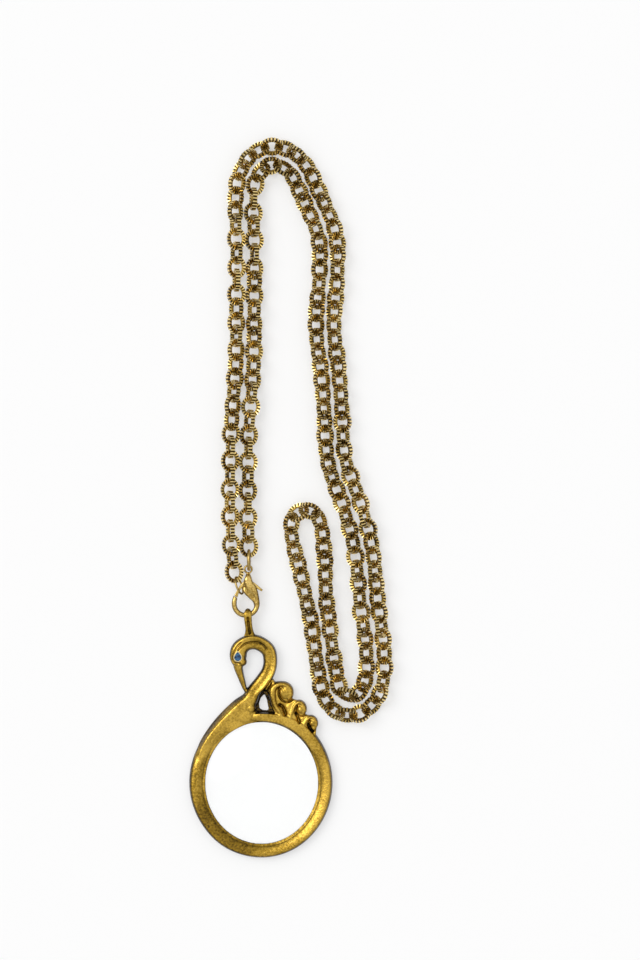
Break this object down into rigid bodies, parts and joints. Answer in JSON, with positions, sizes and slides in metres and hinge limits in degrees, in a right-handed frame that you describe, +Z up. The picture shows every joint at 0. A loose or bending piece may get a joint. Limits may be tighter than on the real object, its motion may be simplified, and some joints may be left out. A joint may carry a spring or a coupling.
{
  "type": "pendant_necklace",
  "caption": "Long chain necklace with a swan-shaped magnifier pendant: a domed lens in a cast ring with curled feathers, hung from a lobster clasp on a doubled chain of round notched links.",
  "frame": {"origin": "The middle of the flat back of the lens, on the surface that the necklace lies on.", "axes": "+Z is up from the lying surface, +Y runs from the lens towards the clasp and along the chain, and +X is the side of the curled feathers."},
  "size_m": [0.0613, 0.2158, 0.0067],
  "materials": {
    "antique_gold": "antique gold plating, dark in the recesses",
    "chain_gold": "antique gold plating, notched and worn bright on the edges",
    "clasp_gold": "pale gold plating, polished",
    "ring_metal": "grey gold plating, polished",
    "spring_steel": "bare",
    "clear_glass": "clear, polished",
    "blue_glass": "blue, faceted"
  },
  "bodies": {
    "pendant": {"swan_frame": "antique_gold", "lens": "clear_glass", "eye_stone": "blue_glass", "bail_loop": "antique_gold"},
    "clasp": {"clasp_body": "clasp_gold", "trigger_rivet": "clasp_gold", "trigger_spring": "spring_steel", "eye_jump_ring": "ring_metal", "gate_jump_ring": "ring_metal", "chain_outer_01": "chain_gold"},
    "trigger": {"trigger_lever": "clasp_gold"},
    "chain_left_low": {"chain_inner_01": "chain_gold", "chain_inner_02": "chain_gold", "chain_inner_03": "chain_gold", "chain_outer_02": "chain_gold", "chain_outer_03": "chain_gold", "chain_outer_04": "chain_gold"},
    "chain_left_high": {"chain_inner_04": "chain_gold", "chain_inner_05": "chain_gold", "chain_inner_06": "chain_gold", "chain_outer_05": "chain_gold", "chain_outer_06": "chain_gold", "chain_outer_07": "chain_gold"},
    "chain_top": {"chain_inner_07": "chain_gold", "chain_inner_08": "chain_gold", "chain_inner_09": "chain_gold", "chain_outer_08": "chain_gold", "chain_outer_09": "chain_gold", "chain_outer_10": "chain_gold", "chain_outer_11": "chain_gold"},
    "chain_right_high": {"chain_inner_10": "chain_gold", "chain_inner_11": "chain_gold", "chain_inner_12": "chain_gold", "chain_outer_12": "chain_gold", "chain_outer_13": "chain_gold", "chain_outer_14": "chain_gold"},
    "chain_right_middle": {"chain_inner_13": "chain_gold", "chain_inner_14": "chain_gold", "chain_inner_15": "chain_gold", "chain_outer_15": "chain_gold", "chain_outer_16": "chain_gold", "chain_outer_17": "chain_gold"},
    "chain_right_low": {"chain_inner_16": "chain_gold", "chain_inner_17": "chain_gold", "chain_inner_18": "chain_gold", "chain_inner_19": "chain_gold", "chain_outer_18": "chain_gold", "chain_outer_19": "chain_gold", "chain_outer_20": "chain_gold", "chain_outer_21": "chain_gold", "chain_outer_22": "chain_gold"},
    "chain_folded_end": {"chain_inner_20": "chain_gold", "chain_inner_21": "chain_gold", "chain_fold_01": "chain_gold", "chain_fold_02": "chain_gold"}
  },
  "joints": [
    {"name": "pendant_swing", "type": "hinge", "parent": "pendant", "child": "clasp", "pos_m": [-0.0042, 0.05055, 0.0028], "axis": [1, 0, 0], "range_deg": [-80, 80]},
    {"name": "trigger_press", "type": "hinge", "parent": "clasp", "child": "trigger", "pos_m": [-0.0044, 0.0602, 0.0028], "axis": [0, 0, 1], "range_deg": [0, 9], "stiffness_Nm_per_rad": 0.0005, "springref_deg": -5.73},
    {"name": "clasp_fold", "type": "hinge", "parent": "clasp", "child": "chain_left_low", "pos_m": [-0.00638, 0.06934, 0.00298], "axis": [0.9968, -0.0804, 0], "range_deg": [-30, 30]},
    {"name": "left_run_fold", "type": "hinge", "parent": "chain_left_low", "child": "chain_left_high", "pos_m": [-0.00548, 0.11929, 0.00289], "axis": [-0.9971, 0.0757, 0], "range_deg": [-36, 36]},
    {"name": "top_left_fold", "type": "hinge", "parent": "chain_left_high", "child": "chain_top", "pos_m": [-0.00515, 0.16926, 0.00298], "axis": [0.9972, -0.0752, 0], "range_deg": [-36, 36]},
    {"name": "top_right_fold", "type": "hinge", "parent": "chain_top", "child": "chain_right_high", "pos_m": [0.0202, 0.1602, 0.00269], "axis": [-0.9998, 0.0182, 0], "range_deg": [-36, 36]},
    {"name": "right_run_fold", "type": "hinge", "parent": "chain_right_high", "child": "chain_right_middle", "pos_m": [0.02149, 0.11038, 0.00268], "axis": [0.9998, -0.0186, 0], "range_deg": [-36, 36]},
    {"name": "right_low_fold", "type": "hinge", "parent": "chain_right_middle", "child": "chain_right_low", "pos_m": [0.03153, 0.06173, 0.00288], "axis": [-0.9998, 0.0184, 0], "range_deg": [-36, 36]},
    {"name": "folded_end_fold", "type": "hinge", "parent": "chain_right_low", "child": "chain_folded_end", "pos_m": [0.01698, 0.05176, 0.00258], "axis": [-0.9941, -0.1081, 0], "range_deg": [-36, 36]}
  ]
}
